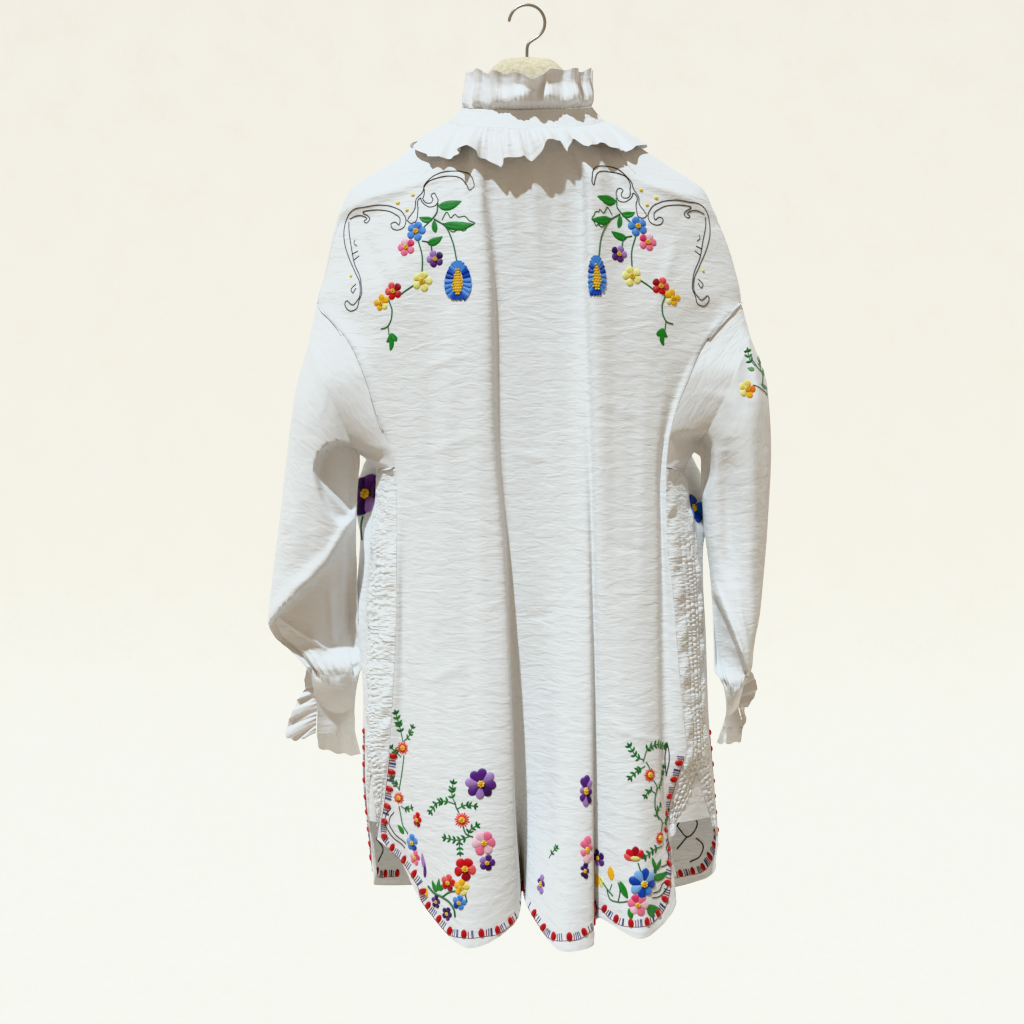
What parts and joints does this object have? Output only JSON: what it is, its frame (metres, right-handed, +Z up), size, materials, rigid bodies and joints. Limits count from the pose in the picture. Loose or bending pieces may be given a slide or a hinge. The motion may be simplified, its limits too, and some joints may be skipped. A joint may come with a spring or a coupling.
{
  "type": "embroidered dress on a padded hanger",
  "caption": "White cotton tunic dress with a ruffled stand collar, full sleeves, shirred sides and a curved hem, hanging open on a padded hanger",
  "frame": {"origin": "inside top of the hanger's hook, where a rail carries it", "axes": "+X to the right as seen from behind the dress, +Y from its back to its front, +Z up"},
  "size_m": [0.53, 0.17, 0.9683],
  "materials": {
    "cotton": "matt white crinkled cotton",
    "hanger_padding": "cream fleece cover",
    "hook_wire": "bright wire"
  },
  "bodies": {
    "root": {"back_panel": "cotton", "front_panel": "cotton", "shoulder_yoke_left": "cotton", "shoulder_yoke_right": "cotton", "side_panel_left": "cotton", "side_panel_right": "cotton", "slit_gusset_left": "cotton", "slit_gusset_right": "cotton", "neckband": "cotton", "collar_ruffle": "cotton", "shoulder_ruffle": "cotton", "sleeve_left": "cotton", "sleeve_right": "cotton", "cuff_left": "cotton", "cuff_right": "cotton", "cuff_ruffle_left": "cotton", "cuff_ruffle_right": "cotton", "cuff_edge_ruffle_left": "cotton", "cuff_edge_ruffle_right": "cotton", "hanger_bar": "hanger_padding", "hanger_hook": "hook_wire"}
  },
  "joints": []
}
